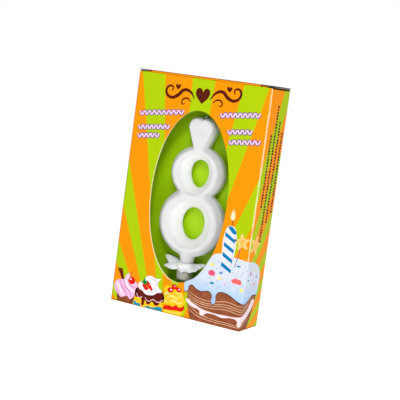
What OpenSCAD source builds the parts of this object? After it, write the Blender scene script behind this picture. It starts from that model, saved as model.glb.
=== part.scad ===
// Number birthday candle on its pick, packed in a windowed card carton with a folded platform inside.
// Origin: centre of the carton's base. +Z up, the window faces -Y, all sizes in millimetres.

/* [Carton] */
// Height of the closed carton
carton_h = 125; // [120:0.5:140]
// Width across the front
carton_w = 78; // [74:0.5:90]
// Depth from front to back
carton_d = 22; // [21:0.5:26]
// Thickness of the folding boxboard
board = 0.45; // [0.35:0.05:0.5]
// Half the width of the oval window
window_rx = 22.5; // [20:0.5:24]
// Half the height of the oval window
window_rz = 45; // [42:0.5:46]
// Height of the window's centre
window_z = 62.5; // [61:0.5:64]

/* [Lid] */
// Length of the tongue that tucks behind the front
tongue_len = 11; // [8:0.5:11]
// Room between the tongue and the front panel
tongue_gap = 0.95; // [0.95:0.05:1.2]
// Reach of each dust flap from its side
flap_len = 18; // [12:0.5:18]

/* [Platform] */
// Distance from the carton's front face to the platform's card
platform_depth = 13.4; // [13.3:0.1:14]
// Height of the shelf that the pick stands in
shelf_z = 12; // [11:0.5:13]

/* [Candle] */
// Height of the lower loop's centre
low_z = 48.9; // [48.5:0.1:49.5]
// Height of the upper loop's centre
high_z = 75.3; // [75:0.1:76]
// Half the thickness of the wax
wax_half = 4.8; // [4:0.1:4.8]
// Distance from the carton's front face to the middle of the wax
candle_depth = 8; // [7.8:0.1:8]

/* [Pick] */
// Outer radius of the cup
cup_r = 4.7; // [4.5:0.1:5]
// Radius of the wax stub that stands in the cup
stub_r = 3.4; // [3:0.1:3.4]
// Radius of the spike
spike_r = 1.5; // [1.2:0.1:1.6]

/* [Hidden] */
$fn = 48;

half_w = carton_w / 2;
half_d = carton_d / 2;
slack = 0.1;                                  // air between cards that only lie on each other
lid_under = carton_h - board;                 // underside of the closed lid, level of its hinge
flap_under = lid_under - slack - board;       // underside of the top dust flaps, level of their hinges
front_top = carton_h - 0.75;                  // cut top edge of the front panel
lid_front = -half_d + 0.6;                    // front edge of the lid
tongue_y = -half_d + board + tongue_gap;      // outer face of the tongue
tongue_half_w = 35;
card_y = -half_d + platform_depth;            // front face of the platform's card
card_x = half_w - 2 * board - 0.15;           // outer faces of the platform's flanges
candle_y = -half_d + candle_depth;
spike_tip = 3;
cup_foot = 18.2;
cup_rim = 24.4;
cup_floor = 1.2;
hub_top = 27.4;
stub_foot = cup_foot + cup_floor + 0.2;
wick_r = 0.6;
wick_foot = 86;
wick_top = 105.2;

// Each wax layer: how far its outline is drawn in, and its half thickness as a share of the whole
wax_layers = [[0, 0.45], [0.8, 0.75], [2.4, 1]];

// Petals of the collar: plan angle and reach, shortened where the card or the front is near
petals = [[0, 13.2], [90, 5], [180, 13.2], [220, 10.5], [272, 7], [325, 11]];

// A closed outline of an ellipse in the XZ plane of a panel
function oval(rx, rz, cz = 0, n = 44) = [for (i = [0:n - 1]) [rx * cos(i * 360 / n), cz + rz * sin(i * 360 / n)]];

// Sets a drawing upright in the XZ plane, from y0 back to y0 + thick
module upright(y0, thick) {
    translate([0, y0 + thick, 0]) rotate([90, 0, 0]) linear_extrude(thick) children();
}

// A flat card lying level, given by its low corner and its size
module level_card(x, y, z, wide, deep) {
    translate([x, y, z]) cube([wide, deep, board]);
}

// The carton

module front_panel() {
    color("orange") upright(-half_d, board) difference() {
        polygon([[-half_w, 0], [half_w, 0], [half_w, front_top], [-half_w, front_top]]);
        polygon(oval(window_rx, window_rz, window_z, 72));
    }
}

module back_panel() {
    color("orange") translate([-half_w, half_d - board, 0]) cube([carton_w, board, lid_under - slack]);
}

// One of the two narrow sides, from front panel to back panel
module side_panel(side) {
    x = side > 0 ? half_w - board : -half_w;
    color("yellowgreen") translate([x, -half_d + board, 0])
        cube([board, carton_d - 2 * board, flap_under - slack]);
}

module left_side_panel() { side_panel(-1); }
module right_side_panel() { side_panel(1); }

// The seam: a strip from the back panel, glued inside the left side
module glue_flap() {
    color("whitesmoke") translate([-half_w + board, 1, 3]) cube([board, half_d - board - 1, 117]);
}

module top_lid() {
    color("orange") level_card(-half_w + 0.15, lid_front, lid_under, carton_w - 0.3, half_d - lid_front);
}

// The tongue hangs from the lid's front edge, behind the front panel, with its lower corners cut off
module tuck_tongue() {
    top = lid_under - 0.05;
    foot = lid_under - tongue_len;
    color("orange") upright(tongue_y, board)
        polygon([[-tongue_half_w, top], [-tongue_half_w, top - 4], [-tongue_half_w + 5, foot],
            [tongue_half_w - 5, foot], [tongue_half_w, top - 4], [tongue_half_w, top]]);
}

// A dust flap under the lid: it narrows towards its tip, so that it swings clear of the lid and the tongue
module top_dust_flap(side) {
    color("whitesmoke") translate([side * half_w, 0, flap_under]) linear_extrude(board)
        polygon([[0, -half_d + 2.3], [-side * flap_len, -half_d + 5.4], [-side * flap_len, half_d - 8.7],
            [0, half_d - 0.6]]);
}

module top_dust_flap_left() { top_dust_flap(-1); }
module top_dust_flap_right() { top_dust_flap(1); }

// The base: four glued flaps lie on each other inside the foot of the walls
module bottom_outer_flap() {
    color("orange") level_card(-half_w + board, -half_d + board, 0, carton_w - 2 * board, carton_d - 2 * board);
}

module bottom_inner_flap() {
    color("whitesmoke")
        level_card(-half_w + board, -half_d + board, board, carton_w - 2 * board, carton_d - 2 * board - 3);
}

module bottom_dust_flap(side) {
    x = side > 0 ? half_w - board - flap_len : -half_w + board;
    color("whitesmoke") level_card(x, -half_d + board + 1, 2 * board, flap_len, carton_d - 2 * board - 2);
}

module bottom_dust_flap_left() { bottom_dust_flap(-1); }
module bottom_dust_flap_right() { bottom_dust_flap(1); }

// The platform that brings the candle up to the window

module platform_card() {
    color("limegreen") translate([-card_x, card_y, 3 * board]) cube([2 * card_x, board, 116]);
}

module platform_flange(side) {
    x = side > 0 ? card_x - board : -card_x;
    deep = half_d - board - slack - card_y - board;
    color("limegreen") translate([x, card_y + board, 3 * board]) cube([board, deep, 116]);
}

module platform_left_flange() { platform_flange(-1); }
module platform_right_flange() { platform_flange(1); }

// The shelf folds forward from the card; the spike stands in its hole
module platform_shelf() {
    front = -half_d + board + slack;
    color("limegreen") difference() {
        level_card(-24, front, shelf_z, 48, card_y - front);
        translate([0, candle_y, shelf_z - 1]) cylinder(r = spike_r + 0.25, h = board + 2);
    }
}

// The shelf's front edge folds down and stands on the base
module shelf_leg() {
    color("limegreen") translate([-24, -half_d + board + slack, 3 * board]) cube([48, board, shelf_z - 3 * board]);
}

// The candle

// One loop of the eight at one layer
module loop_outline(rx, rz, hole_rx, hole_rz, cz, draw_in) {
    difference() {
        polygon(oval(rx - draw_in, rz - draw_in, cz));
        polygon(oval(hole_rx + 0.7 * draw_in, hole_rz + 0.7 * draw_in, cz, 32));
    }
}

// The heart on top of the eight: two lobes and a point that runs down into the upper loop
module heart_outline(draw_in) {
    lobe = 4.5 - draw_in;
    for (side = [-1, 1]) translate([side * 3.1, 99.4]) circle(r = lobe);
    polygon([[-3.1, 99.4 + lobe - 1], [3.1, 99.4 + lobe - 1], [7.4 - draw_in, 97.6], [4.3 - draw_in, 88.5],
        [0, 84], [-4.3 + draw_in, 88.5], [-7.4 + draw_in, 97.6]]);
}

module numeral_outline(draw_in) {
    loop_outline(18.6, 17.7, 7.9, 8.4, low_z, draw_in);
    loop_outline(15, 13.6, 6.2, 7.3, high_z, draw_in);
    waist = 10.2 - draw_in;
    polygon([[-waist - 1, 61], [waist + 1, 61], [waist, 64.3], [waist - 0.5, 67], [-waist + 0.5, 67], [-waist, 64.3]]);
    heart_outline(draw_in);
}

module numeral_wax() {
    color("white") difference() {
        union() {
            for (layer = wax_layers)
                upright(candle_y - layer[1] * wax_half, 2 * layer[1] * wax_half) numeral_outline(layer[0]);
            translate([0, candle_y, hub_top + 0.3]) cylinder(r1 = stub_r, r2 = 4.4, h = 5);
            translate([0, candle_y, stub_foot]) cylinder(r = stub_r, h = 12);
        }
        translate([0, candle_y, wick_foot]) cylinder(r = wick_r, h = 30);
    }
}

module wick() {
    color("lightgray") translate([0, candle_y, wick_foot]) cylinder(r = wick_r, h = wick_top - wick_foot);
}

// The pick under the candle

module flower_collar() {
    hub_r = 5.2;
    color("white") translate([0, candle_y, cup_rim]) difference() {
        union() {
            cylinder(r = hub_r, h = hub_top - cup_rim);
            for (petal = petals) rotate(petal[0]) linear_extrude(1)
                polygon([[3.6, -2], [petal[1] * 0.7, -2.4], [petal[1], 0], [petal[1] * 0.7, 2.4], [3.6, 2]]);
        }
        translate([0, 0, -1]) cylinder(r = stub_r + 0.15, h = 6);
    }
}

module pick_holder() {
    color("lightgray") translate([0, candle_y, 0]) {
        difference() {
            translate([0, 0, cup_foot]) cylinder(r = cup_r, h = cup_rim - cup_foot);
            translate([0, 0, cup_foot + cup_floor]) cylinder(r = stub_r + 0.1, h = cup_rim);
        }
        translate([0, 0, spike_tip + 4]) cylinder(r = spike_r, h = cup_foot - spike_tip - 3.9);
        translate([0, 0, spike_tip]) cylinder(r1 = 0.3, r2 = spike_r, h = 4);
    }
}

front_panel();
back_panel();
left_side_panel();
right_side_panel();
glue_flap();
top_lid();
tuck_tongue();
top_dust_flap_left();
top_dust_flap_right();
bottom_outer_flap();
bottom_inner_flap();
bottom_dust_flap_left();
bottom_dust_flap_right();
platform_card();
platform_left_flange();
platform_right_flange();
platform_shelf();
shelf_leg();
numeral_wax();
wick();
flower_collar();
pick_holder();
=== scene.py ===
from math import cos, pi, radians, sin

import bmesh
import bpy
from mathutils import Matrix, Vector


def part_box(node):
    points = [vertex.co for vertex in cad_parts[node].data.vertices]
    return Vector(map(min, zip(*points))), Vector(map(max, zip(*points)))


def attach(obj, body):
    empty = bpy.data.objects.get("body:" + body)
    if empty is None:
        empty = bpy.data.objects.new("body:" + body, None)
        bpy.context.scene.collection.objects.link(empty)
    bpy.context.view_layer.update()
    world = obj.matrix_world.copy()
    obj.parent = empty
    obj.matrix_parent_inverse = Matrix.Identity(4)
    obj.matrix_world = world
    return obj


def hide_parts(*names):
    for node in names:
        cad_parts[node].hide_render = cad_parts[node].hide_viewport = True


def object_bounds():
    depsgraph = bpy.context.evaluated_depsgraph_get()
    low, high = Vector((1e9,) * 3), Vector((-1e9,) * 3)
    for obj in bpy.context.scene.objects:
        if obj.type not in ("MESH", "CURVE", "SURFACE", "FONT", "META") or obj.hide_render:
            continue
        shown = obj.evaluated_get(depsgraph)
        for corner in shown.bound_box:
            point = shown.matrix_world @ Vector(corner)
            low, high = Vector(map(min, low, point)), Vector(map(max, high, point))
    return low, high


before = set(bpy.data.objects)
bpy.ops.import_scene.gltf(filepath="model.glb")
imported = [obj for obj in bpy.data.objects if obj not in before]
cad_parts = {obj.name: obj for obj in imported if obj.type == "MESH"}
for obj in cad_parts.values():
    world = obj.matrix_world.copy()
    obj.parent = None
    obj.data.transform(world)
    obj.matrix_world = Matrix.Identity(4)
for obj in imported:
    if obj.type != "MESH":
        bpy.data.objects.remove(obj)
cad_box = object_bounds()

MM = 0.001
scene = bpy.context.scene


# --- View, table and light -----------------------------------------------------------------------
# A packshot: a long lens a little to the right of the carton, held with a lean, over a white table.
# The soft box hangs high in front, a little right; weak ones stand left and right in a white room.

aim = Vector((1.1, 0.4, 60.9)) * MM
view_distance = 0.543
view_turn, view_rise, view_lean = radians(27.22), radians(6.41), radians(7.76)
lens_mm = 92.8


def turned(azimuth, rise):
    """Unit vector from the aim point towards a camera or a lamp; azimuth 0 stands in front."""
    return Vector((sin(azimuth) * cos(rise), -cos(azimuth) * cos(rise), sin(rise)))


def softbox(name, azimuth, rise, distance, size, watts, colour):
    lamp = bpy.data.lights.new(name, "AREA")
    lamp.shape, lamp.size, lamp.energy, lamp.color = "SQUARE", size, watts, colour
    holder = bpy.data.objects.new(name, lamp)
    direction = turned(radians(azimuth), radians(rise))
    holder.location = aim + distance * direction
    holder.rotation_euler = direction.to_track_quat("Z", "Y").to_euler()
    scene.collection.objects.link(holder)


lens = bpy.data.cameras.new("packshot")
lens.lens, lens.sensor_width, lens.clip_start = lens_mm, 36.0, 0.01
camera = bpy.data.objects.new("packshot", lens)
camera.matrix_world = (
    Matrix.Translation(aim + view_distance * turned(view_turn, view_rise))
    @ Matrix.Rotation(view_turn, 4, "Z")
    @ Matrix.Rotation(pi / 2 - view_rise, 4, "X")
    @ Matrix.Rotation(view_lean, 4, "Z")
)
scene.collection.objects.link(camera)
scene.camera = camera
scene.view_settings.view_transform = "Standard"

softbox("key", 24, 38, 0.9, 0.22, 3.35, (1.0, 1.0, 0.99))
softbox("left", -24, 14, 1.2, 0.6, 1.1, (1.0, 1.0, 1.0))
softbox("side", 80, 12, 1.0, 0.6, 1.2, (1.0, 1.0, 1.0))

room = bpy.data.worlds.new("white_room")
room.use_nodes = True
room_light = room.node_tree.nodes["Background"]
room_light.inputs["Color"].default_value = (1.0, 1.0, 1.0, 1.0)
seen = room.node_tree.nodes.new("ShaderNodeLightPath")
level = room.node_tree.nodes.new("ShaderNodeMapRange")
level.inputs["To Min"].default_value = 0.22
room.node_tree.links.new(seen.outputs["Is Camera Ray"], level.inputs["Value"])
room.node_tree.links.new(level.outputs["Result"], room_light.inputs["Strength"])
scene.world = room

table = bmesh.new()
bmesh.ops.create_grid(table, x_segments=1, y_segments=1, size=12.0)
table_mesh = bpy.data.meshes.new("table")
table.to_mesh(table_mesh)
table.free()
table_top = bpy.data.objects.new("table", table_mesh)
scene.collection.objects.link(table_top)
white = bpy.data.materials.new("table_white")
white.use_nodes = True
white_top = white.node_tree.nodes["Principled BSDF"].inputs
white_top["Base Color"].default_value = (0.9, 0.9, 0.9, 1.0)
white_top["Roughness"].default_value = 0.8
white_top["Emission Color"].default_value = (1.0, 1.0, 1.0, 1.0)
white_top["Emission Strength"].default_value = 0.8
table_mesh.materials.append(white)


# --- The carton's four walls ---------------------------------------------------------------------
# One blank of folding boxboard, printed outside and bare inside. The oval is die-cut, the blank is
# creased and folded round, and its seam strip is glued inside the left side. The walls are drawn
# flat, as the blank lies on the press: u across, v up, out of the sheet last; fold() stands them up.

front_low, front_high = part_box("front_panel")
back_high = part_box("back_panel")[1]
side_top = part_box("right_side_panel")[1].z / MM - 0.6
half_w, half_d = front_high.x / MM, -front_low.y / MM
board = (front_high.y - front_low.y) / MM
front_top, back_top = front_high.z / MM - 0.5, back_high.z / MM
carton_h = cad_box[1][2] / MM
window_rx, window_rz, window_z = 22.5, 45.0, 62.5
crease_r = 0.9
recess = 0.05  # the walls stand back a little, to leave room for the inks
seam_lap, seam_width, seam_gap = board + 0.02, 9.5, 0.12
wall_runs = (half_w, 2 * half_d, 2 * half_w - seam_lap, 20.0)
wall_rows, front_columns = 24, 16


def fold(u, out=0.0):
    """Plan position of a point of the flat blank, u from the front's centre line, out of its face."""
    hand, rest, corner = (1 if u >= 0 else -1), abs(u), Vector((0.0, -half_d))
    for i, run in enumerate(wall_runs):
        ahead = Vector((cos(i * pi / 2), sin(i * pi / 2)))
        outward = Vector((ahead.y, -ahead.x))
        spot, normal = corner + ahead * rest, outward
        if rest < run - crease_r:
            break
        if rest < run + crease_r:
            turn = (rest - run + crease_r) / (2 * crease_r) * pi / 2
            normal = outward * cos(turn) + ahead * sin(turn)
            spot = corner + ahead * (run - crease_r) + (normal - outward) * crease_r
            break
        corner, rest = corner + ahead * run, rest - run
    point = spot + normal * (out - recess)
    return hand * point.x, point.y


def stand_up(bm):
    """Keeps the flat place of every point as its UV, in decimetres, and folds the drawing up.

    The back's place is counted from its own middle, so that it has rays of its own.
    """
    uv = bm.loops.layers.uv.get("UVMap") or bm.loops.layers.uv.new("UVMap")
    for face in bm.faces:
        on_back = face.calc_center_median().x > half_w + 2 * half_d
        shift = -2 * half_w - 2 * half_d if on_back else 0.0
        for loop in face.loops:
            loop[uv].uv = ((loop.vert.co.x + shift) / 100, loop.vert.co.y / 100)
    for vert in bm.verts:
        x, y = fold(vert.co.x, vert.co.z)
        vert.co = (x, y, vert.co.y)


def modified(made, kind, **settings):
    """Puts a piece's mesh through one modifier, for good."""
    step = made.modifiers.new(kind.lower(), kind)
    for key, value in settings.items():
        setattr(step, key, value)
    bpy.context.view_layer.update()
    before = made.data
    result = made.evaluated_get(bpy.context.evaluated_depsgraph_get())
    made.data = bpy.data.meshes.new_from_object(result)
    made.modifiers.clear()
    bpy.data.meshes.remove(before)


def piece(name, bm, materials, body, stands_for=(), smooth=40, card=0.0):
    """Turns a mesh drawn in millimetres into a finished piece that rides on its body.

    A sheet gets the thickness card, on its inner side, with its second and third materials inside
    and round its cut edges.
    """
    bmesh.ops.scale(bm, vec=(MM, MM, MM), verts=bm.verts)
    mesh = bpy.data.meshes.new(name)
    bm.to_mesh(mesh)
    bm.free()
    for material in materials:
        mesh.materials.append(material)
    made = bpy.data.objects.new(name, mesh)
    scene.collection.objects.link(made)
    if card:
        modified(
            made, "SOLIDIFY", thickness=card * MM, offset=-1.0, use_even_offset=True,
            material_offset=1, material_offset_rim=2,
        )
    made.data.shade_smooth()
    made.data.set_sharp_from_angle(angle=radians(smooth))
    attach(made, body)
    if stands_for:
        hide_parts(*stands_for)
    return made


def nodes_of(name, **sockets):
    """A new material with values on its shader's own sockets, and short ways to add and join nodes."""
    material = bpy.data.materials.new(name)
    material.use_nodes = True
    tree = material.node_tree
    shader = tree.nodes["Principled BSDF"]
    for socket, value in sockets.items():
        shader.inputs[socket.replace("_", " ")].default_value = value

    def add(kind, *inputs, **settings):
        node = tree.nodes.new("ShaderNode" + kind)
        for key, value in settings.items():
            setattr(node, key, value)
        for i, value in enumerate(inputs):
            if isinstance(value, bpy.types.NodeSocket):
                tree.links.new(value, node.inputs[i])
            elif value is not None:
                node.inputs[i].default_value = value
        return node

    def join(source, target):
        tree.links.new(source, shader.inputs[target])

    return material, add, join


def mixed(add, share, first, second, way="MIX"):
    """Mixes two colours by a share and gives the result's socket."""
    node = add("Mix", data_type="RGBA", blend_type=way)
    for i, value in ((0, share), (6, first), (7, second)):
        if isinstance(value, bpy.types.NodeSocket):
            node.id_data.links.new(value, node.inputs[i])
        else:
            node.inputs[i].default_value = value
    return node.outputs[2]


def sum_of(add, operation, *values):
    """One step of arithmetic on a material's values."""
    return add("Math", *values, operation=operation).outputs[0]


def ramp(add, value, low, high, start=0.0, end=1.0):
    """A value that runs from start to end while another goes from low to high."""
    return add("MapRange", value, low, high, start, end).outputs[0]


def length_of(add, across, up):
    """The distance of a point from the middle of its plane."""
    point = add("CombineXYZ", across, up).outputs[0]
    return add("VectorMath", point, operation="LENGTH").outputs["Value"]


def clouds(add, place, scale, detail):
    """Noise in the piece's own place, from large clouds to fine grain."""
    return add("TexNoise", place, None, scale, detail).outputs["Fac"]


def relief(add, strength, depth, height, under=None):
    """Relief from a height, on top of another relief if there is one."""
    bump = add("Bump", strength, depth)
    bump.id_data.links.new(height, bump.inputs["Height"])
    if under is not None:
        bump.id_data.links.new(under, bump.inputs["Normal"])
    return bump.outputs["Normal"]


def paper_relief(add, join, fibre, waver):
    """Fine fibre relief and a slow waver, as a coated board shows when light rakes over it."""
    place = add("TexCoord").outputs["Object"]
    fine = clouds(add, place, 2600.0, 3.0)
    fibres = relief(add, fibre, 0.0001, fine)
    join(relief(add, waver, 0.001, clouds(add, place, 45.0, 1.0), fibres), "Normal")
    return place, fine


def colour(red, green, blue):
    """A colour from its everyday screen values, as the shader wants it."""
    return tuple((c / 255) ** 2.2 for c in (red, green, blue)) + (1.0,)


orange_ink, lime_ink, lime_hatch = colour(250, 147, 0), colour(176, 205, 12), colour(165, 194, 0)
ray_u, ray_v, ray_turn, ray_width = -1.65, -33.0, radians(-2.1), radians(5.4)
thin_from, thin_by = radians(19.5), 0.64  # the rays run thinner on the right side
hatch_across, hatch_up, hatch_rate = -0.57, 0.82, 5.8
crease_mark_half_w = 0.25  # the painted crease light and shade, and rubbed ink, reach about this far from a crease

# In metres, where a painted mark begins and where it is full or gone: from the front's face
# inwards, out towards the lid's ends, and up the lid's front bend.
front_depth, lid_end, lid_bend = (-0.0098, -0.0092), (0.0372, 0.038), (0.12462, 0.12478)
board_sheen = dict(Roughness=0.45, Coat_Weight=0.0, Specular_IOR_Level=0.05)


def rays(add, u, v):
    """Lime rays with a fine slanting hatch, on orange."""
    angle = sum_of(add, "ARCTAN2", sum_of(add, "SUBTRACT", u, ray_u), sum_of(add, "SUBTRACT", v, ray_v))
    beyond = sum_of(add, "MAXIMUM", sum_of(add, "SUBTRACT", angle, thin_from), 0.0)
    on_side = ramp(add, u, half_w - 0.05, half_w + 0.05)
    added = sum_of(add, "MULTIPLY", sum_of(add, "MULTIPLY", beyond, thin_by), on_side)
    swing = sum_of(add, "SUBTRACT", sum_of(add, "ADD", angle, added), ray_turn)
    ray = ramp(add, sum_of(add, "SINE", sum_of(add, "MULTIPLY", swing, pi / ray_width)), 0.12, 0.18)
    slant = sum_of(add, "ADD", sum_of(add, "MULTIPLY", u, hatch_across), sum_of(add, "MULTIPLY", v, hatch_up))
    hatch = ramp(add, sum_of(add, "SINE", sum_of(add, "MULTIPLY", slant, hatch_rate)), -0.4, 0.8)
    return mixed(add, ray, orange_ink, mixed(add, hatch, lime_ink, lime_hatch))


def crease_wear_and_painted_light(add, out, place, u, v):
    """Painted highlight with some pale rubbed ink on the right crease; dark brown painted shade on the left
    crease and at the foot.
    """
    ragged = ramp(add, clouds(add, place, 260.0, 4.0), 0.35, 0.65, 0.15, 0.5)
    off_crease = sum_of(add, "SUBTRACT", sum_of(add, "ABSOLUTE", u), half_w - crease_mark_half_w)
    reach = sum_of(add, "SUBTRACT", sum_of(add, "ABSOLUTE", off_crease), ragged)
    crease_mark = ramp(add, reach, 0.0, 0.3, 0.52, 0.0)
    right = ramp(add, u, 0.0, 1.0)
    left = ramp(add, right, 0.0, 1.0, 0.9, 0.0)
    # Painted light: the pale line is a highlight on the right crease, partly rubbed ink; the brown ones are
    # shade on the left crease and at the foot.
    out = mixed(add, sum_of(add, "MULTIPLY", crease_mark, right), out, colour(255, 246, 214))
    out = mixed(add, sum_of(add, "MULTIPLY", crease_mark, left), out, colour(112, 58, 14))
    return mixed(add, ramp(add, v, 0.3, 0.75, 0.8, 0.0), out, colour(96, 50, 16))


def window_cut_highlight(add, out, place, u, v):
    """The pale core of the board, painted round the lower left of the front's oval: the cut edge's own
    colour, widened as a painted highlight, and left off at the top, where the edge is in shade.
    """
    across = sum_of(add, "DIVIDE", u, window_rx)
    up = sum_of(add, "DIVIDE", sum_of(add, "SUBTRACT", v, window_z), window_rz)
    cut = ramp(add, length_of(add, across, up), 1.004, 1.016, 0.8, 0.0)
    depth = add("SeparateXYZ", place).outputs[1]
    for value, near, far in ((u, -8.0, 2.0), (v, 84.0, 98.0), (depth, *front_depth)):
        cut = sum_of(add, "MULTIPLY", cut, ramp(add, value, near, far, 1.0, 0.0))
    # painted highlight: the pale core beside the lit cut edge
    return mixed(add, cut, out, colour(255, 244, 176))


def lid_painted_shade(add, out, place):
    """Painted shade, dark brown, at the lid's two ends and along the bend at its front."""
    x, depth, height = add("SeparateXYZ", place).outputs
    ends = ramp(add, sum_of(add, "ABSOLUTE", x), *lid_end, 0.0, 0.9)
    on_top = ramp(add, height, *lid_bend, 0.0, 0.8)
    bend = sum_of(add, "MULTIPLY", on_top, ramp(add, depth, *front_depth, 1.0, 0.0))
    # painted shade, where the lock gaps and the roll's top lie in shade
    return mixed(add, sum_of(add, "MAXIMUM", ends, bend), out, colour(84, 46, 16))


def printed_board(name, striped):
    """Orange board; striped, it has lime rays from a point under the carton, painted light on the creases,
    the foot and round the oval; plain, painted shade on the lid.
    """
    material, add, join = nodes_of(name, **board_sheen)
    place, fine = paper_relief(add, join, 0.25, 0.18)
    flat = add("SeparateXYZ", add("UVMap", uv_map="UVMap").outputs[0]).outputs
    u, v = sum_of(add, "MULTIPLY", flat[0], 100.0), sum_of(add, "MULTIPLY", flat[1], 100.0)
    tone = add("HueSaturation", 0.5, 1.0, 1.0, 1.0, rays(add, u, v) if striped else orange_ink)
    tone.id_data.links.new(ramp(add, fine, 0.3, 0.7, 0.97, 1.03), tone.inputs["Value"])
    if striped:
        out = window_cut_highlight(add, crease_wear_and_painted_light(add, tone.outputs[0], place, u, v), place, u, v)
    else:
        out = lid_painted_shade(add, tone.outputs[0], place)
    join(out, "Base Color")
    return material


def raw_board(name, light, dark, scale):
    """Uncoated board: the speckled inside, or the layered fibres of a cut edge."""
    material, add, join = nodes_of(name, Roughness=0.85, Specular_IOR_Level=0.25)
    place = paper_relief(add, join, 0.6, 0.15)[0]
    join(mixed(add, ramp(add, clouds(add, place, scale, 6.0), 0.42, 0.7), light, dark), "Base Color")
    return material


striped_board = printed_board("striped_board", True)
orange_board = printed_board("orange_board", False)
bare_board = raw_board("bare_board", colour(233, 229, 219), colour(206, 199, 184), 900.0)
board_edge = raw_board("board_edge", colour(238, 230, 196), colour(214, 196, 140), 1600.0)
card_faces = [striped_board, bare_board, board_edge]


def strip(bm, u0, u1, columns):
    """One flat stretch of the blank, from u0 to u1, as tall as the walls."""
    made = bmesh.ops.create_grid(bm, x_segments=columns, y_segments=wall_rows, size=0.5)["verts"]
    bmesh.ops.scale(bm, vec=(u1 - u0, front_top, 1), verts=made)
    bmesh.ops.translate(bm, vec=((u0 + u1) / 2, front_top / 2, 0), verts=made)
    return made


walls = bmesh.new()
front = strip(walls, crease_r - half_w, half_w - crease_r, front_columns)
inside = [v for v in front if not v.is_boundary]
bmesh.ops.delete(walls, geom=inside, context="VERTS")
oval = bmesh.ops.create_circle(walls, segments=2 * (front_columns + wall_rows), radius=1.0)["verts"]
bmesh.ops.scale(walls, vec=(window_rx, window_rz, 1), verts=oval)
bmesh.ops.translate(walls, vec=(0, window_z, 0), verts=oval)
oval_edges = list({e for v in oval for e in v.link_edges})
for face in walls.faces[:]:
    walls.faces.remove(face)
rim = [e for e in walls.edges if e not in oval_edges]
spokes = bmesh.ops.bridge_loops(walls, edges=rim + oval_edges)["edges"]
bmesh.ops.subdivide_edges(walls, edges=spokes, cuts=3, use_grid_fill=True)
corner = half_w + 2 * half_d
last = sum(wall_runs[:3])
for u0, u1, columns in (
    (seam_gap - corner, -half_w - crease_r, 5),
    (-half_w - crease_r, -half_w + crease_r, 6),
    (half_w - crease_r, half_w + crease_r, 6),
    (half_w + crease_r, corner - crease_r, 5),
    (corner - crease_r, corner + crease_r, 6),
    (corner + crease_r, last - crease_r, 12),
    (last - crease_r, last + crease_r, 6),
    (last + crease_r, last + seam_width, 3),
):
    strip(walls, u0, u1, columns)
bmesh.ops.remove_doubles(walls, verts=walls.verts, dist=0.02)
for face in walls.faces:
    face.normal_update()
    if face.normal.z < 0:
        face.normal_flip()
for vert in walls.verts:
    if vert.co.y > front_top - 0.01:
        on_back = vert.co.x > corner
        on_side = half_w - crease_r / 2 < abs(vert.co.x) and not on_back
        vert.co.y = back_top if on_back else side_top if on_side else front_top
stand_up(walls)
piece(
    "carton_walls", walls, card_faces, "carton",
    ("front_panel", "back_panel", "left_side_panel", "right_side_panel", "glue_flap"), card=board,
)


# --- The print on the carton ---------------------------------------------------------------------
# Flat inks laid over the stripes in passes: three small cakes, a cut cake that runs round the right
# crease with a spiral candle and two stars, a flourish, waves and beads. Each ink is a thin skin.

ink_skin = 0.008
pass_step = 0.007


def ink(name, light, dark, mottle=0.35, deepen=0.0):
    """A printed ink with a little mottle; deepen turns it to its dark colour towards the foot."""
    material, add, join = nodes_of("ink_" + name, **board_sheen)
    place = paper_relief(add, join, 0.25, 0.18)[0]
    share = ramp(add, clouds(add, place, 420.0, 2.0), 0.3, 0.7, 0.0, mottle)
    if deepen:
        height = add("SeparateXYZ", place).outputs[2]
        share = sum_of(add, "ADD", ramp(add, height, 0.025, 0.013, 0.0, deepen), share)
    join(mixed(add, share, light, dark), "Base Color")
    return material


ink_tones = {
    "pink": ((240, 194, 228), (224, 160, 210)),
    "blush": ((252, 232, 242), (244, 214, 232)),
    "rose": ((206, 120, 184), (188, 100, 168)),
    "cocoa": ((110, 30, 18), (80, 18, 12)),
    "wrapper": ((156, 88, 56), (124, 64, 38)),
    "sponge": ((158, 92, 62), (126, 66, 44)),
    "crust": ((92, 40, 30), (74, 28, 22)),
    "peach": ((250, 214, 176), (238, 192, 148)),
    "cream": ((244, 240, 246), (226, 220, 236)),
    "chalk": ((232, 232, 232), (220, 220, 224)),
    "filling": ((246, 228, 232), (232, 206, 216)),
    "shade": ((204, 210, 232), (188, 196, 224)),
    "cherry": ((226, 36, 24), (190, 14, 12)),
    "leaf": ((10, 140, 60), (4, 100, 40)),
    "yolk": ((255, 204, 36), (246, 168, 8)),
    "custard": ((255, 234, 130), (252, 214, 84)),
    "pear": ((214, 222, 130), (190, 206, 96)),
    "teal": ((20, 150, 180), (8, 116, 150)),
    "icing": ((220, 226, 236), (146, 194, 244)),
    "blue": ((14, 128, 186), (6, 104, 164)),
    "glow": ((255, 240, 214), (255, 214, 160)),
    "halo": ((255, 190, 96), (252, 172, 72)),
    "star": ((254, 206, 128), (250, 192, 104)),
    "berry": ((236, 92, 128), (222, 70, 108)),
    "coral": ((244, 108, 104), (232, 86, 84)),
    "plum": ((120, 62, 120), (92, 44, 96)),
    "lilac": ((228, 204, 236), (208, 176, 222)),
    "chocolate": ((92, 36, 18), (66, 24, 12)),
}
ink_ways = {"wrapper": dict(mottle=1.0), "sponge": dict(mottle=0.8), "icing": dict(mottle=0.22, deepen=0.7)}
inks = {
    name: ink(name, colour(*light), colour(*dark), **ink_ways.get(name, {}))
    for name, (light, dark) in ink_tones.items()
}


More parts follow.
